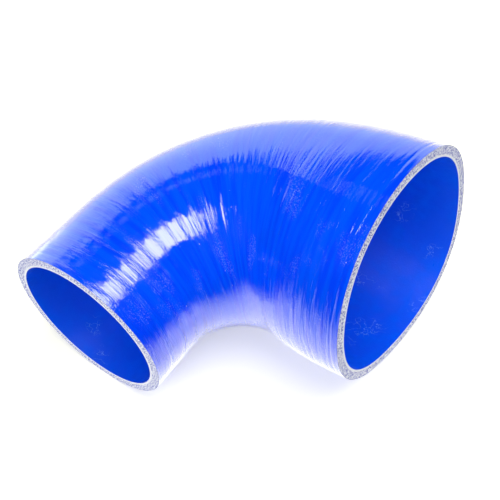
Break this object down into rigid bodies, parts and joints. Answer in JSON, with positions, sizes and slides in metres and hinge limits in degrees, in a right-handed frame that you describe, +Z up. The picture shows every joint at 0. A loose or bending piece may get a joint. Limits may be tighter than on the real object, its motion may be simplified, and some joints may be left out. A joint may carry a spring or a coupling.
{
  "type": "silicone reducer elbow hose",
  "caption": "Right-angle reducer elbow hose in fabric-reinforced silicone, blue inside and out, with plain cut ends that slide over pipes.",
  "frame": {"origin": "middle of the bounding box, on the surface the hose lies on", "axes": "+Z up as the hose lies on its side; the small mouth faces -Y and the large mouth faces +X"},
  "size_m": [0.1344, 0.1346, 0.101],
  "materials": {
    "silicone": "glossy wrapped silicone skin"
  },
  "bodies": {
    "root": {"elbow_hose": "silicone"}
  },
  "joints": []
}
